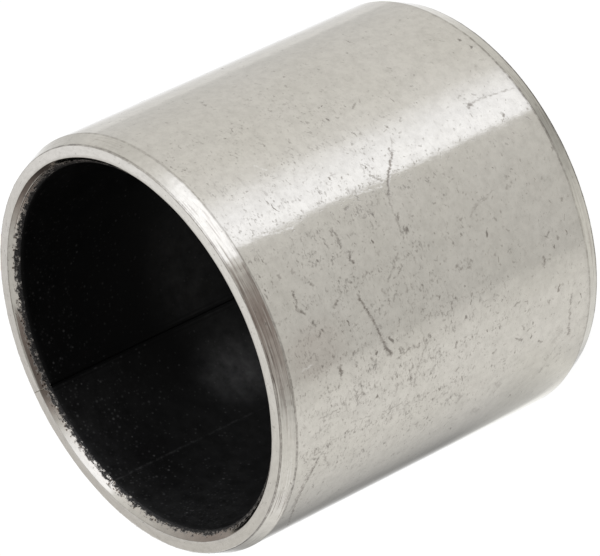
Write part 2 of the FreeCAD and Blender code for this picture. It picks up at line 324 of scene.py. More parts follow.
def mark_strength(points):
    """For (degrees, mm) points on the wall: how deep each lies in a scratch, how high on the lip beside it,
    and how strongly the painted glint of a scuff lies on it, all from 0 to 1."""
    strength = np.zeros(len(points))
    raised = np.zeros(len(points))
    bright = np.zeros(len(points))
    scale = np.array([math.radians(1) * OUTER_RADIUS, 1.0])
    for index, (line, half_width, dark) in enumerate(SCRATCHES):
        line = np.array(line)
        at = points * scale
        ragged = 1 + 0.5 * np.sin(at[:, 0] * 13.0 + index) * np.sin(at[:, 1] * 17.0 + 2 * index)
        ragged += 0.3 * np.sin(at[:, 0] * 31.0 + 3 * index) * np.sin(at[:, 1] * 29.0 + index)
        at = at + 0.035 * np.stack([np.sin(at[:, 1] * 11.0 + index), np.sin(at[:, 0] * 9.0 + 5 * index)], -1)
        at = at + 0.020 * np.stack([np.sin(at[:, 1] * 37.0 + index), np.sin(at[:, 0] * 31.0 + 5 * index)], -1)
        nearest = np.full(len(points), 99.0)
        for a, b in zip(line[:-1] * scale, line[1:] * scale):
            way = b - a
            share = np.clip(((at - a) @ way) / (way @ way), 0, 1)
            nearest = np.minimum(nearest, np.linalg.norm(at - a - share[:, None] * way, axis=1))
        inside = np.clip(1.5 - nearest / (half_width * ragged), 0, 1) * min(1.0, 1.1 * abs(dark))
        # the tool or grit skipped, so a scratch is a row of dashes
        skips = 0.75 + 0.5 * np.sin(at[:, 0] * 5.1 + index) * np.sin(at[:, 1] * 6.3 + 2 * index)
        skips += 0.45 * np.sin(at[:, 0] * 14.0 + 2 * index) * np.sin(at[:, 1] * 12.0 + index)
        inside = inside * np.clip(skips, 0.12 if dark < 0.8 else 0.55, 1)
        if dark < 0:
            bright = np.maximum(bright, inside)
            continue
        strength = np.maximum(strength, inside)
        raised = np.maximum(raised, np.clip(1 - abs(nearest / half_width - 1.8) / 0.8, 0, 1) * dark * 0.4)
    return strength, raised, bright


def wall_places(vertices):
    """(degrees, mm) of mesh vertices, with degrees from -90 to 270."""
    places = np.array([(math.degrees(math.atan2(v.co.y, v.co.x)), v.co.z * 1000) for v in vertices])
    places[:, 0] = (places[:, 0] + 90) % 360 - 90
    return places


cut = bmesh.new()
cut.from_mesh(steel_piece.data)
cut.verts.ensure_lookup_table()
scratch_layer = cut.verts.layers.float.new("scratch")
scuff_glint_layer = cut.verts.layers.float.new("scuff_glint")
edge_layer = cut.verts.layers.float.new("edge_darkening")
# how dark each turned edge is drawn, as (degrees, share)
LOWER_EDGE_DARKENING = ((-90, 0.5), (30, 0.6), (42, 1.0), (66, 1.0), (78, 0.9), (100, 1.6), (114, 2.2), (145, 0.9),
              (165, 0.5), (270, 0.5))
UPPER_WALL_EDGE_DARKENING = ((-90, 1.0), (20, 1.0), (31, 2.0), (48, 1.9), (57, 1.4), (68, 1.7), (80, 1.0), (270, 1.0))
UPPER_RING_EDGE_DARKENING = ((-90, 1.0), (36, 1.0), (50, 0.75), (72, 0.7), (80, 0.3), (96, 0.3), (106, 0.55),
                   (130, 0.5), (144, 0.7), (160, 0.75), (172, 1.0), (270, 1.0))
first_upper = len(lower) + WALL_ROWS - 1
for vertex in cut.verts:
    row = vertex.index // (COLUMNS + 1)
    # the two small edges of the joint are drawn darker as well
    darkening = edge_dark[row] if row < len(rows) else 0.3
    way_round = (math.degrees(math.atan2(vertex.co.y, vertex.co.x)) + 90) % 360 - 90
    if row < len(lower):
        darkening *= np.interp(way_round, *zip(*LOWER_EDGE_DARKENING))
    elif first_upper <= row < first_upper + upper_edges[0]:
        darkening *= np.interp(way_round, *zip(*UPPER_WALL_EDGE_DARKENING))
    elif first_upper <= row < first_upper + upper_edges[1]:
        darkening *= np.interp(way_round, *zip(*UPPER_RING_EDGE_DARKENING))
    vertex[edge_layer] = darkening
# the wall's mesh is made finer only where a mark runs
near_wall = [v for v in cut.verts if v.co.xy.length > 0.01598 and 0.0014 < v.co.z < 0.0288]
places = wall_places(near_wall)
reach = np.zeros(len(near_wall), bool)
for line, half_width, dark in SCRATCHES:
    for (a, za), (b, zb) in zip(line[:-1], line[1:]):
        scale = math.radians(1) * OUTER_RADIUS
        way = np.array([(b - a) * scale, zb - za])
        from_a = np.stack([(places[:, 0] - a) * scale, places[:, 1] - za], -1)
        share = np.clip(from_a @ way / (way @ way), 0, 1)
        reach |= np.linalg.norm(from_a - share[:, None] * way, axis=1) < half_width * 2 + 0.3
chosen = {v for v, hit in zip(near_wall, reach) if hit}
edges = {e for v in chosen for f in v.link_faces for e in f.edges if len(f.verts) == 4}
bmesh.ops.subdivide_edges(cut, edges=list(edges), cuts=5, use_grid_fill=True)
cut.normal_update()
on_wall = [v for v in cut.verts if v.co.xy.length > 0.01596 and 0.0014 < v.co.z < 0.0288]
strength, raised, bright = mark_strength(wall_places(on_wall))
for vertex, deep, high, glinting in zip(on_wall, strength, raised, bright):
    radius = vertex.co.xy.length
    target = radius + (high * 0.4 - deep) * GROOVE_DEPTH / 1000
    vertex.co.x *= target / radius
    vertex.co.y *= target / radius
    vertex[scratch_layer] = deep
    vertex[scuff_glint_layer] = glinting
cut.to_mesh(steel_piece.data)
cut.free()


def linear(hex_colour):
    """An sRGB hex colour as linear RGBA."""
    channels = [int(hex_colour[i:i + 2], 16) / 255 for i in (1, 3, 5)]
    return tuple(c / 12.92 if c <= 0.04045 else ((c + 0.055) / 1.055) ** 2.4 for c in channels) + (1.0,)


def put(tree, kind, inputs=None, **settings):
    """Adds one shader node with its settings. An input is a value, another node's output, or a node, which
    stands for its first output."""
    node = tree.nodes.new("ShaderNode" + kind)
    for name, value in settings.items():
        setattr(node, name, value)
    for socket, value in (inputs or {}).items():
        if isinstance(value, bpy.types.Node):
            value = value.outputs[0]
        if isinstance(value, bpy.types.NodeSocket):
            tree.links.new(value, node.inputs[socket])
        else:
            node.inputs[socket].default_value = value
    return node


def empty_material(name):
    """A new material and its empty node tree."""
    material = bpy.data.materials.new(name)
    material.use_nodes = True
    material.node_tree.nodes.clear()
    return material, material.node_tree


def round_ramp(tree, angle, stops):
    """A value that changes round the sleeve, for an angle counted from +Y towards +X in radians. Its stops
    are (degrees from +X towards +Y, value), from 90 degrees down."""
    turn_share = put(tree, "Math", {0: angle, 1: 2 * math.pi}, operation="DIVIDE")
    turn_share = put(tree, "Math", {0: turn_share, 1: 1.0}, operation="ADD")
    turn_share = put(tree, "Math", {0: turn_share}, operation="FRACT")
    ramp = put(tree, "ValToRGB", {0: turn_share})
    for degrees, value in stops[2:]:
        ramp.color_ramp.elements.new((90 - degrees) / 360)
    for element, (degrees, value) in zip(ramp.color_ramp.elements, stops):
        element.position = (90 - degrees) / 360
        element.color = (value, value, value, 1.0)
    return ramp


# Tin plate on cold-rolled strip: a warm, silvery grey, satin rather than mirror bright, so that reflections
# keep their edges but no detail. Pits and short drag marks from the rolls and from handling look dark on it.
tin, tree = empty_material("tin_plated_rolled_steel")
place = put(tree, "SeparateXYZ", {0: put(tree, "TexCoord").outputs["Object"]})
angle = put(tree, "Math", {0: place.outputs["X"], 1: place.outputs["Y"]}, operation="ARCTAN2")
round_mm = put(tree, "Math", {0: angle, 1: OUTER_RADIUS}, operation="MULTIPLY")
up_mm = put(tree, "Math", {0: place.outputs["Z"], 1: 1000.0}, operation="MULTIPLY")
flat_xy = put(tree, "CombineXYZ", {0: place.outputs["X"], 1: place.outputs["Y"]})
radius_m = put(tree, "VectorMath", {0: flat_xy}, operation="LENGTH")
out_mm = put(tree, "Math", {0: radius_m.outputs["Value"], 1: 1000.0}, operation="MULTIPLY")
# patterns are squeezed along the radius, so that on the flat ring they lie round it, as turning leaves them
squeezed = put(tree, "Math", {0: out_mm, 1: 2.5, 2: -1.5 * OUTER_RADIUS}, operation="MULTIPLY_ADD")
sheet = put(tree, "CombineXYZ", {0: round_mm, 1: up_mm, 2: squeezed})

# clouds 5 mm and 0.6 mm wide, as the plating's thickness varies
cloud = put(tree, "TexNoise", {"Vector": sheet, "Scale": 0.2, "Detail": 3.0, "Roughness": 0.6})
grain = put(tree, "TexNoise", {"Vector": sheet, "Scale": 1.6, "Detail": 4.0, "Roughness": 0.65})

# how thickly the marks lie on each side of the sleeve, as (degrees from +X, share): most where it was handled
CROWDING = ((90, 0.80), (76, 0.82), (64, 0.92), (52, 0.95), (40, 0.92), (28, 0.64), (16, 0.42), (0, 0.10),
            (-30, 0.40), (-60, 0.30), (-90, 0.35), (-120, 0.50), (-160, 0.20), (-180, 0.05), (-188, 0.28),
            (-200, 0.46), (-212, 0.46), (-224, 0.60), (-236, 0.62), (-248, 0.80), (-260, 0.82), (-270, 0.80))
side = round_ramp(tree, angle, CROWDING)
# fewer near the lower end, in faint columns along the sleeve and in loose patches
along = put(tree, "MapRange", {0: up_mm, 1: 4.0, 2: 18.0, 3: 0.58, 4: 1.0}, interpolation_type="SMOOTHSTEP")
column = put(tree, "CombineXYZ", {0: round_mm})
column = put(tree, "TexNoise", {"Vector": column, "Scale": 0.9, "Detail": 3.0})
patch = put(tree, "TexNoise", {"Vector": sheet, "Scale": 0.6, "Detail": 3.0, "Roughness": 0.6})
crowd = put(tree, "Math", {0: column, 1: patch}, operation="ADD")
crowd = put(tree, "MapRange", {0: crowd, 1: 0.85, 2: 1.15, 3: 0.55, 4: 1.4})
crowd = put(tree, "Math", {0: side, 1: crowd}, operation="MULTIPLY")
crowd = put(tree, "Math", {0: along, 1: crowd}, operation="MULTIPLY")
# the turned ends were cut last and carry few
end_way = put(tree, "Math", {0: up_mm, 1: LENGTH / 2}, operation="SUBTRACT")
end_way = put(tree, "Math", {0: end_way}, operation="ABSOLUTE")
turned = put(tree, "MapRange", {0: end_way, 1: LENGTH / 2 - LEAD_IN - 0.03, 2: LENGTH / 2 - LEAD_IN + 0.05})
fresh = put(tree, "MapRange", {0: turned, 3: 1.0, 4: 0.35})
crowd = put(tree, "Math", {0: fresh, 1: crowd}, operation="MULTIPLY")

# the marks' edges are torn: the pattern's place is shaken by up to 0.2 mm, and by 0.04 mm more finely
slow = put(tree, "TexNoise", {"Vector": sheet, "Scale": 1.5, "Detail": 1.0})
slow = put(tree, "VectorMath", {0: slow.outputs["Color"], 1: (0.5, 0.5, 0.5)}, operation="SUBTRACT")
quick = put(tree, "TexNoise", {"Vector": sheet, "Scale": 7.0, "Detail": 2.0, "Roughness": 0.7})
quick = put(tree, "VectorMath", {0: quick.outputs["Color"], 1: (0.5, 0.5, 0.5)}, operation="SUBTRACT")
bent = put(tree, "VectorMath", {0: slow, 1: (0.9, 0.9, 0.0), 2: sheet},
           operation="MULTIPLY_ADD")
bent = put(tree, "VectorMath", {0: quick, 1: (0.20, 0.20, 0.0), 2: bent},
           operation="MULTIPLY_ADD")
masks = []
# flecks, as the peaks of a noise. Each row: waves to the millimetre round and along the sleeve, turn in
# radians, the level that peaks must pass, how far the crowding lowers it, and how dark. They go down to
# 0.1 mm, the least that shows.
FLECKS = (((2.0, 3.2, 1.0), 0.15, 0.750, 0.17, 0.85),
          ((3.2, 3.8, 1.0), -0.30, 0.720, 0.16, 0.60),
          ((1.1, 3.2, 1.0), 0.25, 0.765, 0.14, 0.55),
          ((1.8, 4.0, 1.0), -0.70, 0.620, 0.05, 0.22))
for waves, tilt, level, lowered, depth in FLECKS:
    local = put(tree, "Mapping", {"Vector": sheet, "Rotation": (0, 0, tilt), "Scale": waves},
                vector_type="POINT")
    peaks = put(tree, "TexNoise", {"Vector": local, "Scale": 1.0, "Detail": 2.5, "Roughness": 0.55})
    least = put(tree, "Math", {0: crowd, 1: -lowered, 2: level}, operation="MULTIPLY_ADD")
    over = put(tree, "Math", {0: peaks, 1: least}, operation="SUBTRACT")
    masks.append(put(tree, "MapRange", {0: over, 1: 0.0, 2: 0.15, 3: 0.0, 4: depth}))
# single marks. Each row: cell size in mm, turn in radians, how common, smallest and largest share of the
# cell, and how dark. Drag marks 0.3 to 0.9 mm long, cross marks, dots and two kinds of long hairline.
MARKS = (((1.10, 0.40, 0.40), 0.10, 0.28, 0.08, 0.24, 0.95),
         ((0.80, 0.36, 0.36), -0.60, 0.16, 0.08, 0.20, 0.8),
         ((0.34, 0.30, 0.30), 0.0, 0.30, 0.16, 0.34, 0.8),
         ((4.50, 0.60, 0.60), 0.22, 0.28, 0.025, 0.055, 0.5),
         ((3.20, 0.70, 0.70), 1.35, 0.20, 0.025, 0.05, 0.5))
for size, tilt, common, low, high, depth in MARKS:
    local = put(tree, "Mapping", {"Vector": bent, "Rotation": (0, 0, tilt),
                                  "Scale": tuple(1 / s for s in size)}, vector_type="POINT")
    cell = put(tree, "TexVoronoi", {"Vector": local, "Scale": 1.0})
    pick = put(tree, "SeparateColor", {0: cell.outputs["Color"]})
    share = put(tree, "Math", {0: crowd, 1: common}, operation="MULTIPLY")
    held = put(tree, "Math", {0: pick, 1: share}, operation="LESS_THAN")
    width = put(tree, "MapRange", {0: pick.outputs[1], 1: 0.0, 2: 1.0, 3: low, 4: high})
    ratio = put(tree, "Math", {0: cell.outputs["Distance"], 1: width}, operation="DIVIDE")
    spot = put(tree, "MapRange", {0: ratio, 1: 1.4, 2: 0.5}, interpolation_type="SMOOTHSTEP")
    spot = put(tree, "Math", {0: spot, 1: held}, operation="MULTIPLY")
    fade = put(tree, "MapRange", {0: pick.outputs[2], 1: 0.0, 2: 1.0, 3: 0.3 * depth, 4: depth})
    masks.append(put(tree, "Math", {0: spot, 1: fade}, operation="MULTIPLY"))
pits = masks[0]
for mask in masks[1:]:
    pits = put(tree, "Math", {0: pits, 1: mask}, operation="MAXIMUM")

# tool marks on the turned ends: arcs 4 mm long, 0.15 mm apart, fainter on the flat ring. Real ones lie
# closer, and would be too fine to show.
slow_round = put(tree, "Math", {0: round_mm, 1: 0.05}, operation="MULTIPLY")
ring_place = put(tree, "CombineXYZ", {0: slow_round, 1: end_way, 2: out_mm})
rings = put(tree, "TexNoise", {"Vector": ring_place, "Scale": 5.0, "Detail": 1.5, "Roughness": 0.6})
ring_fade = put(tree, "MapRange", {0: out_mm, 1: RING_OUTER_RADIUS - 0.05, 2: RING_OUTER_RADIUS,
                                   3: 0.05, 4: 1.0})
rings_on = put(tree, "Math", {0: rings, 1: turned}, operation="MULTIPLY")
rings_on = put(tree, "Math", {0: rings_on, 1: ring_fade}, operation="MULTIPLY")
# the tool was sharp on one side's last pass, and its marks are fainter there
sharp = put(tree, "MapRange", {0: angle, 1: math.radians(-28), 2: math.radians(-42), 3: 1.0, 4: 0.35},
            interpolation_type="SMOOTHSTEP")
rings_on = put(tree, "Math", {0: rings_on, 1: sharp}, operation="MULTIPLY")
sharp = put(tree, "MapRange", {0: angle, 1: math.radians(40), 2: math.radians(58), 3: 1.0, 4: 0.4},
            interpolation_type="SMOOTHSTEP")
rings_on = put(tree, "Math", {0: rings_on, 1: sharp}, operation="MULTIPLY")
# the rolls leave the strip faintly uneven, with waves from 2.5 mm down to 0.3 mm
rolls = put(tree, "Mapping", {"Vector": sheet, "Scale": (0.45, 0.35, 1.0)}, vector_type="POINT")
rolls = put(tree, "TexNoise", {"Vector": rolls, "Scale": 1.0, "Detail": 4.0, "Roughness": 0.52})
uncut = put(tree, "Math", {0: 1.0, 1: turned}, operation="SUBTRACT")
rolls = put(tree, "Math", {0: rolls, 1: uncut}, operation="MULTIPLY")

# handling has left a faint brown film beside one end, 4 mm by 4 mm
film = put(tree, "Mapping", {"Vector": sheet, "Location": (-5.0 / 3.0, -26.5 / 4.0, 0),
                             "Scale": (1 / 3.0, 1 / 4.0, 0.0)}, vector_type="POINT")
film = put(tree, "VectorMath", {0: film}, operation="LENGTH")
film = put(tree, "MapRange", {0: film.outputs["Value"], 1: 1.0, 2: 0.2, 3: 0.0, 4: 0.5},
           interpolation_type="SMOOTHSTEP")
film = put(tree, "Math", {0: film, 1: column}, operation="MULTIPLY")

scratch = put(tree, "Attribute", attribute_name="scratch")
edge_darkened = put(tree, "Attribute", attribute_name="edge_darkening")
# the darker lines along the edges, like the burr, come and go every half millimetre
broken = put(tree, "TexNoise", {"Vector": sheet, "Scale": 2.2, "Detail": 3.0, "Roughness": 0.7})
broken = put(tree, "MapRange", {0: broken, 1: 0.36, 2: 0.62, 3: 0.35, 4: 0.95})
edge_dark_share = put(tree, "Math", {0: edge_darkened.outputs["Fac"], 1: broken}, operation="MULTIPLY")
dark = put(tree, "Math", {0: pits, 1: scratch.outputs["Fac"]}, operation="MAXIMUM")

tone = put(tree, "Mix", {0: cloud, 6: linear("#cac6bc"), 7: linear("#d2cec6")}, data_type="RGBA")
fine = put(tree, "MapRange", {0: grain, 1: 0.38, 2: 0.72, 3: 0.0, 4: 0.28})
tone = put(tree, "Mix", {0: fine, 6: tone.outputs[2], 7: linear("#98948c")}, data_type="RGBA")
tone = put(tree, "Mix", {0: film, 6: tone.outputs[2], 7: linear("#a89a90")}, data_type="RGBA")
dark_share = put(tree, "Math", {0: dark, 1: 0.75}, operation="MULTIPLY")
darkening = put(tree, "Mix", {0: patch, 6: linear("#6e5f55"), 7: linear("#615f5c")}, data_type="RGBA")
tone = put(tree, "Mix", {0: dark_share, 6: tone.outputs[2], 7: darkening.outputs[2]}, data_type="RGBA")
line_share = put(tree, "MapRange", {0: rings_on, 1: 0.55, 2: 0.68, 3: 0.0, 4: 0.38})
tone = put(tree, "Mix", {0: line_share, 6: tone.outputs[2], 7: linear("#7d7069")}, data_type="RGBA")
edge_dark_share = put(tree, "Math", {0: edge_dark_share, 1: 0.9}, operation="MULTIPLY", use_clamp=True)
tone = put(tree, "Mix", {0: edge_dark_share, 6: tone.outputs[2], 7: linear("#6c665f")}, data_type="RGBA")
# the scuffs are painted near white: a painted highlight where they catch the light
scuff_glint = put(tree, "Attribute", attribute_name="scuff_glint")
tone = put(tree, "Mix", {0: scuff_glint.outputs["Fac"], 6: tone.outputs[2], 7: linear("#fbf9f5")}, data_type="RGBA")

rough = put(tree, "MapRange", {0: cloud, 1: 0.3, 2: 0.7, 3: 0.07, 4: 0.11})
rough = put(tree, "Math", {0: dark, 1: 0.30, 2: rough}, operation="MULTIPLY_ADD")
height = put(tree, "Math", {0: grain, 1: 0.10}, operation="MULTIPLY")
height = put(tree, "Math", {0: pits, 1: -1.0, 2: height}, operation="MULTIPLY_ADD")
height = put(tree, "Math", {0: rings_on, 1: 13.0, 2: height}, operation="MULTIPLY_ADD")
height = put(tree, "Math", {0: rolls, 1: 5.0, 2: height}, operation="MULTIPLY_ADD")
bump = put(tree, "Bump", {"Height": height, "Strength": 1.0, "Distance": 0.000004})
shader = put(tree, "BsdfPrincipled", {"Base Color": tone.outputs[2], "Metallic": 1.0,
                                      "Roughness": rough, "Normal": bump})
put(tree, "OutputMaterial", {0: shader})
steel_piece.data.materials.append(tin)
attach(steel_piece, "root")
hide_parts("steel_backing")


# Sliding lining. A black polymer compound, rolled into and over the porous bronze on the strip's inner side
# and smoothed to size, so it is a dark, slightly waxy skin 0.3 mm thick. It ends in clean lips at the joint.
# Sizes are in millimetres.
BORE_RADIUS = 14.0
BORE_DEPTH = 0.65
LINING_COLUMNS = 540
lining_turn = column_angles(BORE_RADIUS, LINING_COLUMNS)
even = np.ones_like(lining_turn)
bore_edge_upper = [np.stack([(BORE_RADIUS + 0.30 * s) * even, (LENGTH - BORE_DEPTH + 0.30 * s) * even])
                   for s in (0.12, 0.5, 1.0)]
bore_edge_lower = [np.stack([p[0], LENGTH - p[1]]) for p in bore_edge_upper]
lining_rows = list(bore_edge_lower[::-1])
for step in range(0, 41):
    share = step / 40
    height = BORE_DEPTH * (1 - share) + (LENGTH - BORE_DEPTH) * share
    lip = 0.012 * np.exp(-((lining_turn + math.pi / 2) * BORE_RADIUS / 0.12) ** 2)
    lip += 0.012 * np.exp(-((lining_turn - 1.5 * math.pi) * BORE_RADIUS / 0.12) ** 2)
    sway = wander(lining_turn + 0.5 * math.sin(5 * share), 71, 0.002, 6, 40)
    lining_rows.append(np.stack([BORE_RADIUS + lip + sway, height * even]))
lining_rows += bore_edge_upper
for step in range(0, 5):
    share = step / 4
    height = (LENGTH - BORE_DEPTH + 0.25) * (1 - share) + (BORE_DEPTH - 0.25) * share
    lining_rows.append(np.stack([(BOND_RADIUS + 0.02) * even, height * even]))
lining_piece = turned_piece("black_lining", lining_rows, LINING_COLUMNS, 0.06)

# Filled polymer compound over sintered bronze: nearly black and matt, with a low sheen along the bore,
# and pale specks where a bronze grain or a crumb of filler comes to the surface.
compound, tree = empty_material("black_filled_sliding_compound")
place = put(tree, "SeparateXYZ", {0: put(tree, "TexCoord").outputs["Object"]})
angle = put(tree, "Math", {0: place.outputs["X"], 1: place.outputs["Y"]}, operation="ARCTAN2")
round_mm = put(tree, "Math", {0: angle, 1: BORE_RADIUS}, operation="MULTIPLY")
up_mm = put(tree, "Math", {0: place.outputs["Z"], 1: 1000.0}, operation="MULTIPLY")
sheet = put(tree, "CombineXYZ", {0: round_mm, 1: up_mm})
mottle = put(tree, "TexNoise", {"Vector": sheet, "Scale": 0.5, "Detail": 4.0, "Roughness": 0.6})
# specks 0.1 to 0.3 mm wide, one to three to the square millimetre, and more towards the two mouths
mouth = put(tree, "Math", {0: up_mm, 1: LENGTH / 2}, operation="SUBTRACT")
mouth = put(tree, "Math", {0: mouth}, operation="ABSOLUTE")
lip_dust = put(tree, "MapRange", {0: mouth, 1: LENGTH / 2 - BORE_DEPTH - 0.5, 2: LENGTH / 2 - BORE_DEPTH,
                                  3: 0.0, 4: 0.05}, interpolation_type="SMOOTHSTEP")
mouth = put(tree, "MapRange", {0: mouth, 1: 4.0, 2: 13.0, 3: 0.25, 4: 0.95})
pale = None
# each row: cells to the millimetre, smallest and largest speck as a share of a cell, and least and most pale
SPECKS = ((1.6, 0.08, 0.18, 0.03, 0.34), (2.4, 0.14, 0.28, 0.02, 0.20), (3.6, 0.2, 0.4, 0.02, 0.14))
for scale, low, high, least, most in SPECKS:
    cell = put(tree, "TexVoronoi", {"Vector": sheet, "Scale": scale})
    pick = put(tree, "SeparateColor", {0: cell.outputs["Color"]})
    held = put(tree, "Math", {0: pick, 1: mouth}, operation="LESS_THAN")
    width = put(tree, "MapRange", {0: pick.outputs[1], 3: low, 4: high})
    speck = put(tree, "Math", {0: cell.outputs["Distance"], 1: width}, operation="DIVIDE")
    speck = put(tree, "MapRange", {0: speck, 1: 1.4, 2: 0.2}, interpolation_type="SMOOTHSTEP")
    speck = put(tree, "Math", {0: speck, 1: held}, operation="MULTIPLY")
    fade = put(tree, "Math", {0: pick.outputs[2], 1: 3.0}, operation="POWER")
    fade = put(tree, "MapRange", {0: fade, 3: least, 4: most})
    speck = put(tree, "Math", {0: speck, 1: fade}, operation="MULTIPLY")
    pale = speck if pale is None else put(tree, "Math", {0: speck, 1: pale}, operation="MAXIMUM")
# fewer stand out on one half of the bore
even_half = put(tree, "MapRange", {0: round_mm, 1: -10.0, 2: 10.0, 3: 0.62, 4: 1.0})
pale = put(tree, "Math", {0: pale, 1: even_half}, operation="MULTIPLY")
# one rub line along the bore, 0.15 mm wide
rub = put(tree, "Math", {0: round_mm, 1: 35.3}, operation="SUBTRACT")
rub = put(tree, "Math", {0: rub}, operation="ABSOLUTE")
rub = put(tree, "MapRange", {0: rub, 1: 0.14, 2: 0.03, 3: 0.0, 4: 0.18})
rub_broken = put(tree, "TexNoise", {"Vector": sheet, "Scale": 1.6, "Detail": 4.0, "Roughness": 0.7})
rub_broken = put(tree, "MapRange", {0: rub_broken, 1: 0.42, 2: 0.7})
rub = put(tree, "Math", {0: rub, 1: rub_broken}, operation="MULTIPLY")
pale = put(tree, "Math", {0: pale, 1: rub}, operation="MAXIMUM")
pale = put(tree, "Math", {0: pale, 1: lip_dust}, operation="MAXIMUM")
# soft pale patches: wiped dust, and painted sheen where the bore catches the light, the strongest of them
# a painted highlight. Each row: place round and along the bore and reach round and along it, all in mm, and
# how pale
DUST_AND_SHEEN = ((39.0, 14.4, 4.2, 5.0, 0.46), (42.0, 25.5, 8.0, 8.0, 0.035), (36.0, 29.5, 10.0, 4.5, 0.05),
        (27.0, 26.5, 10.0, 9.0, 0.06), (33.0, 19.0, 11.0, 9.0, 0.055), (-41.0, 15.0, 8.5, 5.0, 0.15),
        (44.0, 14.0, 6.0, 5.0, 0.12), (-20.0, 10.0, 9.0, 6.0, 0.02))
dust_and_sheen = put(tree, "TexNoise", {"Vector": sheet, "Scale": 0.9, "Detail": 3.0, "Roughness": 0.6})
dust_and_sheen = put(tree, "MapRange", {0: dust_and_sheen, 1: 0.3, 2: 0.7, 3: 0.5, 4: 1.5})
for round_at, up_at, round_reach, up_reach, strength in DUST_AND_SHEEN:
    shift = (-round_at / round_reach, -up_at / up_reach, 0)
    patch = put(tree, "Mapping", {"Vector": sheet, "Location": shift,
                                  "Scale": (1 / round_reach, 1 / up_reach, 1.0)}, vector_type="POINT")
    patch = put(tree, "VectorMath", {0: patch}, operation="LENGTH")
    patch = put(tree, "MapRange", {0: patch.outputs["Value"], 1: 1.0, 2: 0.0, 3: 0.0, 4: strength},
                interpolation_type="SMOOTHSTEP")
    pale = put(tree, "Math", {0: patch, 1: dust_and_sheen, 2: pale}, operation="MULTIPLY_ADD")
# the strip's two ends are a little rounded at the joint and stay clear of dust and painted sheen
seam = put(tree, "Math", {0: round_mm}, operation="ABSOLUTE")
seam = put(tree, "Math", {0: math.pi * BORE_RADIUS, 1: seam}, operation="SUBTRACT")
# a thin pale line runs 0.25 mm from the joint, with a dark one beside it
beside = put(tree, "Math", {0: seam, 1: 0.42}, operation="SUBTRACT")
beside = put(tree, "Math", {0: beside}, operation="ABSOLUTE")
beside = put(tree, "MapRange", {0: beside, 1: 0.05, 2: 0.11, 3: 0.6, 4: 1.0})
seam = put(tree, "MapRange", {0: seam, 1: 0.16, 2: 0.26, 3: 0.12, 4: 1.0})
seam = put(tree, "Math", {0: seam, 1: beside}, operation="MULTIPLY")
pale = put(tree, "Math", {0: pale, 1: seam}, operation="MULTIPLY")
black = put(tree, "Mix", {0: mottle, 6: linear("#030303"), 7: linear("#0b0b0b")}, data_type="RGBA")
black = put(tree, "Mix", {0: seam, 6: linear("#010101"), 7: black.outputs[2]}, data_type="RGBA")
tone = put(tree, "Mix", {0: pale, 6: black.outputs[2], 7: linear("#878786")}, data_type="RGBA")
rough = put(tree, "MapRange", {0: mottle, 1: 0.3, 2: 0.7, 3: 0.42, 4: 0.58})
bump = put(tree, "Bump", {"Height": mottle, "Strength": 1.0, "Distance": 0.000006})
shader = put(tree, "BsdfPrincipled", {"Base Color": tone.outputs[2], "Roughness": rough, "IOR": 1.35,
                                      "Specular IOR Level": 0.15, "Normal": bump})
put(tree, "OutputMaterial", {0: shader})
lining_piece.data.materials.append(compound)
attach(lining_piece, "root")
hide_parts("sliding_lining")


# Sintered rims. Where the inside bevel cuts through the lining it lays bare the porous bronze: grains 0.1 to
# 0.2 mm wide, bright where the tool has cut them, in black compound. Towards the bore only compound is left.
RIM_COLUMNS = 1800
# how far down the bevel each row of points lies from the bonding line
RIM_STEPS = (-0.12, -0.115, -0.095, -0.086, -0.078, -0.060, -0.050, -0.040, -0.01, 0.03, 0.08, 0.12, 0.16,
             0.20, 0.24, 0.28, 0.30, 0.325)
# the same for the burr that stands along the bonding line on one side, and how high it is there
BURR_STEPS = (-0.095, -0.086, -0.078, -0.060, -0.050, -0.040, -0.01)
BURR_HEIGHTS = (0, 0.004, 0.010, 0.026, 0.030, 0.025, 0)
rim_turn = column_angles(BOND_RADIUS, RIM_COLUMNS)
chance = np.random.default_rng(5)
for name, upward in (("sintered_rim_upper", True), ("sintered_rim_lower", False)):
    rim_rows = []
    for s in RIM_STEPS:
        ragged = chance.normal(0, 0.006, len(rim_turn)) * (1 if 0.05 < s < 0.3 else 0)
        ragged = ragged + (0.003 if -0.117 < s <= 0.3 else -0.02)
        burr = np.interp(s, BURR_STEPS, BURR_HEIGHTS)
        ragged = ragged + burr * np.exp(-((np.degrees(rim_turn) - 201) / 15) ** 4)
        radius = BOND_RADIUS - s - 0.707 * ragged
        depth = BOND_DEPTH + s - 0.707 * ragged
        rim_rows.append(np.stack([radius, LENGTH - depth if upward else depth]))
    for s in (RIM_STEPS[-1], RIM_STEPS[0]):
        radius = (BOND_RADIUS - s + 0.05) * np.ones_like(rim_turn)
        depth = (BOND_DEPTH + s + 0.05) * np.ones_like(rim_turn)
        rim_rows.append(np.stack([radius, LENGTH - depth if upward else depth]))
    if not upward:
        rim_rows = rim_rows[::-1]
    rim_piece = turned_piece(name, rim_rows, RIM_COLUMNS, 0.02)
    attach(rim_piece, "root")
    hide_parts("sliding_lining")

# Cut sintered bronze in black compound: bright, warm metal flecks with soft black between them.
sinter, tree = empty_material("cut_sintered_bronze_in_compound")
place = put(tree, "SeparateXYZ", {0: put(tree, "TexCoord").outputs["Object"]})
angle = put(tree, "Math", {0: place.outputs["X"], 1: place.outputs["Y"]}, operation="ARCTAN2")
round_mm = put(tree, "Math", {0: angle, 1: BOND_RADIUS}, operation="MULTIPLY")
flat_xy = put(tree, "CombineXYZ", {0: place.outputs["X"], 1: place.outputs["Y"]})
radius_m = put(tree, "VectorMath", {0: flat_xy}, operation="LENGTH")
out_mm = put(tree, "Math", {0: radius_m.outputs["Value"], 1: 1000.0}, operation="MULTIPLY")
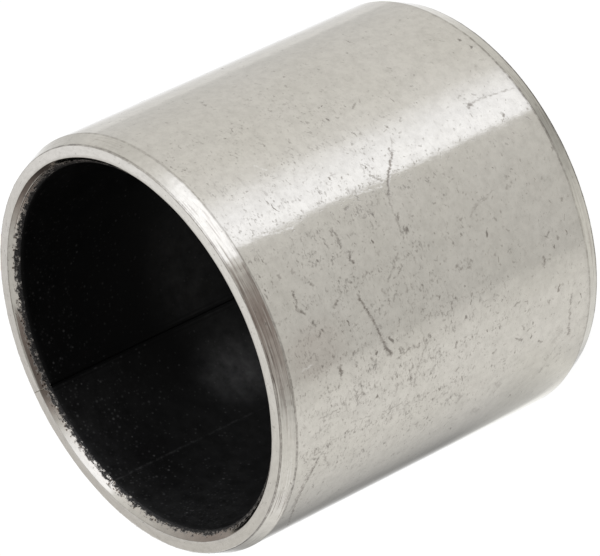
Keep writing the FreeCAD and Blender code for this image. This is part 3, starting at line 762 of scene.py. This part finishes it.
# the second place is counted down the bevel's slope
slant_mm = put(tree, "Math", {0: out_mm, 1: 1.414}, operation="MULTIPLY")
sheet = put(tree, "CombineXYZ", {0: round_mm, 1: slant_mm})
# grains 0.1 to 0.25 mm wide; their share falls from the steel's side to the bore's
drawn = put(tree, "Mapping", {"Vector": sheet, "Scale": (1.9, 3.6, 1.0)}, vector_type="POINT")
grains = put(tree, "TexNoise", {"Vector": drawn, "Scale": 1.0, "Detail": 2.5, "Roughness": 0.55},
             noise_dimensions="2D")
# it reaches further in on some sides than on others, as (degrees from +X, shift in mm)
REACH = ((90, 0.0), (-40, 0.0), (-52, 0.05), (-68, 0.05), (-78, 0.02), (-92, -0.04), (-112, -0.04),
         (-126, -0.02), (-140, 0.0), (-164, 0.0), (-176, -0.04), (-190, -0.04), (-205, 0.0), (-270, 0.0))
reach = round_ramp(tree, angle, [(degrees, 0.5 + 5 * shift) for degrees, shift in REACH])
reach = put(tree, "MapRange", {0: reach, 3: -0.1, 4: 0.1})
cut_mm = put(tree, "Math", {0: out_mm, 1: reach}, operation="ADD")
share = put(tree, "MapRange", {0: cut_mm, 1: 14.02, 2: 14.38, 3: -0.20, 4: 0.19})
metal = put(tree, "Math", {0: grains, 1: share}, operation="ADD")
metal = put(tree, "MapRange", {0: metal, 1: 0.37, 2: 0.66}, interpolation_type="SMOOTHSTEP")
pores = put(tree, "TexVoronoi", {"Vector": sheet, "Scale": 3.4}, voronoi_dimensions="2D")
pore_pick = put(tree, "SeparateColor", {0: pores.outputs["Color"]})
pore_share = put(tree, "MapRange", {0: cut_mm, 1: 14.45, 2: 14.28, 3: 0.0, 4: 0.55})
# none are open along the burr
burr_way = put(tree, "Math", {0: angle, 1: math.radians(111)}, operation="ADD")
burr_way = put(tree, "Math", {0: burr_way}, operation="ABSOLUTE")
burr_way = put(tree, "MapRange", {0: burr_way, 1: math.radians(10), 2: math.radians(18)})
pore_share = put(tree, "Math", {0: pore_share, 1: burr_way}, operation="MULTIPLY")
pore_held = put(tree, "Math", {0: pore_pick, 1: pore_share}, operation="LESS_THAN")
pore = put(tree, "MapRange", {0: pores.outputs["Distance"], 1: 0.42, 2: 0.18, 3: 0.0, 4: 0.85},
           interpolation_type="SMOOTHSTEP")
pore = put(tree, "Math", {0: pore, 1: pore_held}, operation="MULTIPLY")
# the compound is blacker towards the bore, with a few stray crumbs of metal in it
flecks = put(tree, "TexNoise", {"Vector": sheet, "Scale": 5.5, "Detail": 2.0}, noise_dimensions="2D")
crumbs = put(tree, "MapRange", {0: flecks, 1: 0.58, 2: 0.75, 3: 0.0, 4: 0.22})
deep = put(tree, "MapRange", {0: out_mm, 1: 14.00, 2: 14.20}, interpolation_type="SMOOTHSTEP")
grey = put(tree, "Mix", {0: flecks, 6: linear("#1d1b19"), 7: linear("#33302d")}, data_type="RGBA")
grey = put(tree, "Mix", {0: deep, 6: linear("#060606"), 7: grey.outputs[2]}, data_type="RGBA")
grey = put(tree, "Mix", {0: crumbs, 6: grey.outputs[2], 7: linear("#8a847b")}, data_type="RGBA")
cut = put(tree, "Mix", {0: pore, 6: linear("#ccc7be"), 7: linear("#4a3a2e")}, data_type="RGBA")
tone = put(tree, "Mix", {0: metal, 6: grey.outputs[2], 7: cut.outputs[2]}, data_type="RGBA")
rough = put(tree, "MapRange", {0: metal, 3: 0.6, 4: 0.12})
bump = put(tree, "Bump", {"Height": metal, "Strength": 0.4, "Distance": 0.00001})
shader = put(tree, "BsdfPrincipled", {"Base Color": tone.outputs[2], "Metallic": metal,
                                      "Roughness": rough, "Normal": bump})
put(tree, "OutputMaterial", {0: shader})
for name in ("sintered_rim_upper", "sintered_rim_lower"):
    bpy.data.objects[name].data.materials.append(sinter)


# Floor. A white sheet under the sleeve, which shows only its soft contact shadow. The polished steel mirrors
# the cards of the studio instead, so the sheet is left out of its reflections.
floor_mesh = bpy.data.meshes.new("white_sheet")
floor_mesh.from_pydata([(-6, -6, 0), (6, -6, 0), (6, 6, 0), (-6, 6, 0)], [], [(0, 1, 2, 3)])
floor = bpy.data.objects.new("white_sheet", floor_mesh)
bpy.context.scene.collection.objects.link(floor)
# it lies a hair below the sleeve's end
floor.location.z = -0.00002
# Matt paper: no gloss, and plain white to the eye apart from the shadow.
paper, tree = empty_material("matt_white_paper")
seen = put(tree, "LightPath")
seen_any = put(tree, "Math", {0: seen.outputs["Is Camera Ray"], 1: seen.outputs["Is Glossy Ray"]},
               operation="ADD")
seen_any = put(tree, "Math", {0: seen_any, 1: seen.outputs["Is Transmission Ray"]}, operation="ADD",
               use_clamp=True)
matt = put(tree, "BsdfDiffuse", {"Color": linear("#e9e9e7")})
faint = put(tree, "BsdfDiffuse", {"Color": (0.15, 0.15, 0.15, 1.0)})
glow = put(tree, "Emission", {"Color": (1.0, 1.0, 1.0, 1.0), "Strength": 0.95})
white = put(tree, "AddShader", {0: glow, 1: faint})
look = put(tree, "MixShader", {0: seen_any, 1: matt, 2: white})
put(tree, "OutputMaterial", {0: look})
floor_mesh.materials.append(paper)
floor.visible_glossy = False
floor.visible_shadow = False


# Studio. White cards stand all round and below the horizon's edge, one tall soft box stands at the camera's
# left, and the camera's own side is dim. A strip of white paper on the table lights the sleeve's foot on one
# side, and only in the polish. Each row gives (degrees round from +X, light level of 1 for white).
strip_points = []
for step in range(25):
    turned_by = math.radians(-80 + 140 * step / 24)
    for radius in (0.0163, 0.028):
        strip_points.append((radius * math.cos(turned_by), radius * math.sin(turned_by), 0.00001))
strip_faces = [(2 * step, 2 * step + 1, 2 * step + 3, 2 * step + 2) for step in range(24)]
strip_mesh = bpy.data.meshes.new("paper_strip")
strip_mesh.from_pydata(strip_points, [], strip_faces)
paper_strip = bpy.data.objects.new("paper_strip", strip_mesh)
bpy.context.scene.collection.objects.link(paper_strip)
# Lit paper: it glows evenly, fades out at its edges, and gives the satin steel a soft pale band.
lit_paper, tree = empty_material("lit_white_paper")
place = put(tree, "SeparateXYZ", {0: put(tree, "TexCoord").outputs["Object"]})
flat_xy = put(tree, "CombineXYZ", {0: place.outputs["X"], 1: place.outputs["Y"]})
radius_m = put(tree, "VectorMath", {0: flat_xy}, operation="LENGTH")
near = put(tree, "MapRange", {0: radius_m.outputs["Value"], 1: 0.0275, 2: 0.0175},
           interpolation_type="SMOOTHSTEP")
angle = put(tree, "Math", {0: place.outputs["Y"], 1: place.outputs["X"]}, operation="ARCTAN2")
angle_from = put(tree, "Math", {0: angle, 1: math.radians(-25)}, operation="SUBTRACT")
angle_from = put(tree, "Math", {0: angle_from}, operation="ABSOLUTE")
middle = put(tree, "MapRange", {0: angle_from, 1: math.radians(55), 2: math.radians(42)},
             interpolation_type="SMOOTHSTEP")
# the light falls on it from one side, and it is brighter on that side of a slanting line. The line is given
# by its normal, a thousand times as long so that metres become millimetres, and its distance from the axis.
LINE_X = 977.0
LINE_Y = 212.5
LINE_DISTANCE = 16.96
lit = put(tree, "Math", {0: place.outputs["X"], 1: LINE_X, 2: -LINE_DISTANCE}, operation="MULTIPLY_ADD")
lit = put(tree, "Math", {0: place.outputs["Y"], 1: LINE_Y, 2: lit}, operation="MULTIPLY_ADD")
lit = put(tree, "MapRange", {0: lit, 1: -0.8, 2: 1.15, 3: 1.08, 4: 0.57}, interpolation_type="SMOOTHSTEP")
shaded = put(tree, "MapRange", {0: angle, 1: 0.0, 2: math.radians(18), 3: 0.66, 4: 0.91})
lit = put(tree, "Math", {0: lit, 1: shaded}, operation="MAXIMUM")
cover = put(tree, "Math", {0: near, 1: middle}, operation="MULTIPLY")
clear = put(tree, "BsdfTransparent")
glow = put(tree, "Emission", {"Color": (1.0, 1.0, 0.98, 1.0), "Strength": lit})
look = put(tree, "MixShader", {0: cover, 1: clear, 2: glow})
put(tree, "OutputMaterial", {0: look})
strip_mesh.materials.append(lit_paper)
paper_strip.visible_camera = False
paper_strip.visible_diffuse = False
paper_strip.visible_shadow = False

# Cards and soft box, by height: below the sleeve's level, rising to it, level with it, and above.
BELOW = ((0, 0.99), (16, 0.985), (22, 0.99), (28, 0.935), (36, 0.865), (39.3, 0.845), (41.3, 0.75),
         (76, 0.78), (113, 0.85), (116.0, 0.86), (118.2, 1.50), (124, 1.55), (132, 1.45), (140, 1.33),
         (149, 1.05), (164, 0.96), (204, 0.89), (232.4, 0.79), (235.6, 0.93), (246, 0.87), (252, 0.93),
         (262, 1.12), (278, 1.05), (290, 0.47), (296, 0.345), (299.5, 0.345), (316, 0.63), (332, 0.84),
         (348, 0.96), (360, 0.99))
RISING = ((0, 1.10), (20, 0.99), (40, 0.83), (60, 0.62), (90, 0.56), (111, 0.84), (114.5, 1.55),
          (124, 1.64), (140, 1.42), (150, 1.12), (165, 0.98), (180, 0.92), (214, 0.90), (230, 0.76),
          (250, 0.80), (272, 0.9), (291, 0.63), (301, 0.58), (309, 0.71), (326, 1.01), (342, 1.16),
          (360, 1.12))
LEVEL = ((0, 0.98), (18, 0.93), (27, 0.84), (35, 0.66), (52, 0.50), (70, 0.40), (80, 0.30), (90, 0.36),
         (100, 0.53), (109, 0.94), (112.5, 1.66), (135, 1.86), (153, 1.70), (162, 1.26), (172, 0.98),
         (185, 0.88), (200, 0.75), (214, 0.45), (232, 0.32), (252, 0.45), (272, 0.50), (286, 0.35),
         (297, 0.04), (309, 0.05), (316, 0.13), (323, 0.16), (331, 0.30), (341, 0.45), (350, 0.92),
         (360, 1.0))
ABOVE = ((0, 0.66), (11, 0.70), (23, 0.74), (28, 0.66), (35, 0.22), (52, 0.17), (70, 0.13), (92, 0.14),
         (103, 0.36), (118, 0.80), (130, 1.30), (152, 1.60), (168, 1.60), (173, 1.10), (186, 0.84),
         (206, 0.54), (230, 0.65), (252, 1.28), (266, 1.32), (277, 0.92), (290, 0.70), (308, 0.35),
         (323, 0.16), (333, 0.50), (345, 0.60), (360, 0.66))
world = bpy.data.worlds.new("white_studio")
bpy.context.scene.world = world
world.use_nodes = True
tree = world.node_tree
tree.nodes.clear()
way = put(tree, "SeparateXYZ", {0: put(tree, "TexCoord").outputs["Generated"]})
bearing = put(tree, "Math", {0: way.outputs["Y"], 1: way.outputs["X"]}, operation="ARCTAN2")
bearing = put(tree, "Math", {0: bearing, 1: 2 * math.pi}, operation="DIVIDE")
bearing = put(tree, "Math", {0: bearing, 1: 1.0}, operation="ADD")
bearing = put(tree, "Math", {0: bearing}, operation="FRACT")
bands = []
for stops in (BELOW, RISING, LEVEL, ABOVE):
    band = put(tree, "ValToRGB", {0: bearing})
    ramp = band.color_ramp
    ramp.interpolation = "LINEAR"
    for degrees, level in stops[2:]:
        ramp.elements.new(degrees / 360)
    for element, (degrees, level) in zip(ramp.elements, stops):
        # the dim parts of the room are brownish, and the soft box is cooler than the cards
        brown = min(1.0, max(0.0, (0.60 - level) / 0.35)) * (0 if stops is BELOW else 1)
        cool = min(1.0, max(0.0, (level - 0.95) / 0.50))
        tint = (1 + 0.13 * brown - 0.025 * cool, 1 - 0.04 * brown, 1 - 0.09 * brown + 0.075 * cool)
        element.position = degrees / 360
        element.color = tuple(level / 2 * share for share in tint) + (1.0,)
    bands.append(band)
light = bands[0]
for band, low, high in ((bands[1], -30, -14), (bands[2], -9, -1), (bands[3], 13, 42)):
    blend = put(tree, "MapRange", {0: way.outputs["Z"], 1: math.sin(math.radians(low)),
                                   2: math.sin(math.radians(high))}, interpolation_type="SMOOTHSTEP")
    light = put(tree, "Mix", {0: blend, 6: light, 7: band}, data_type="RGBA").outputs[2]
# the white table, with the sleeve's own shade in the middle of it
across = put(tree, "MapRange", {0: way.outputs["X"], 1: -0.5, 2: 0.5})
table = put(tree, "ValToRGB", {0: across})
TABLE = ((-0.45, 0.45), (-0.39, 0.41), (-0.29, 0.36), (-0.15, 0.235), (0.02, 0.295), (0.19, 0.39),
         (0.34, 0.46), (0.45, 0.45))
for sideways, level in TABLE[2:]:
    table.color_ramp.elements.new(sideways + 0.5)
for element, (sideways, level) in zip(table.color_ramp.elements, TABLE):
    element.position = sideways + 0.5
    element.color = (level, level, 0.98 * level, 1.0)
# it brightens away from the sleeve, towards one corner
corner_way = put(tree, "Math", {0: way.outputs["X"], 1: 0.6, 2: way.outputs["Y"]}, operation="MULTIPLY_ADD")
corner_lit = put(tree, "MapRange", {0: corner_way, 1: -0.58, 2: -0.80}, interpolation_type="SMOOTHSTEP")
table = put(tree, "Mix", {0: corner_lit, 6: table, 7: (0.5, 0.5, 0.5, 1.0)}, data_type="RGBA")
blend = put(tree, "MapRange", {0: way.outputs["Z"], 1: -0.62, 2: -0.72}, interpolation_type="SMOOTHSTEP")
light = put(tree, "Mix", {0: blend, 6: light, 7: table.outputs[2]}, data_type="RGBA").outputs[2]
blend = put(tree, "MapRange", {0: way.outputs["Z"], 1: math.sin(math.radians(62)),
                               2: math.sin(math.radians(80))}, interpolation_type="SMOOTHSTEP")
light = put(tree, "Mix", {0: blend, 6: light, 7: (0.3, 0.3, 0.3, 1.0)}, data_type="RGBA").outputs[2]
# the ramps hold half the light's level, because their colours end at 1
sky = put(tree, "Background", {"Color": light, "Strength": 2.0})
put(tree, "OutputWorld", {0: sky})


# Camera. A long lens, 0.4 m away and 33 degrees above the sleeve's upper end. It is held turned, so that the
# sleeve seems to lie on its side.
view = bpy.context.scene.view_settings
view.view_transform = "Standard"
lens = bpy.data.cameras.new("long_lens")
lens.sensor_width = 36.0
lens.sensor_fit = "HORIZONTAL"
lens.lens = 336.32
lens.clip_start = 0.01
lens.clip_end = 50.0
camera = bpy.data.objects.new("long_lens", lens)
bpy.context.scene.collection.objects.link(camera)
right = Vector((0.415603, 0.507779, -0.754609))
up = Vector((-0.909209, 0.209355, -0.359874))
ahead = Vector((0.024755, -0.835662, -0.548686))
turned_frame = Matrix((right, up, -ahead)).transposed().to_4x4()
turned_frame.translation = Vector((-0.009705, 0.338482, 0.237283))
camera.matrix_world = turned_frame
bpy.context.scene.camera = camera
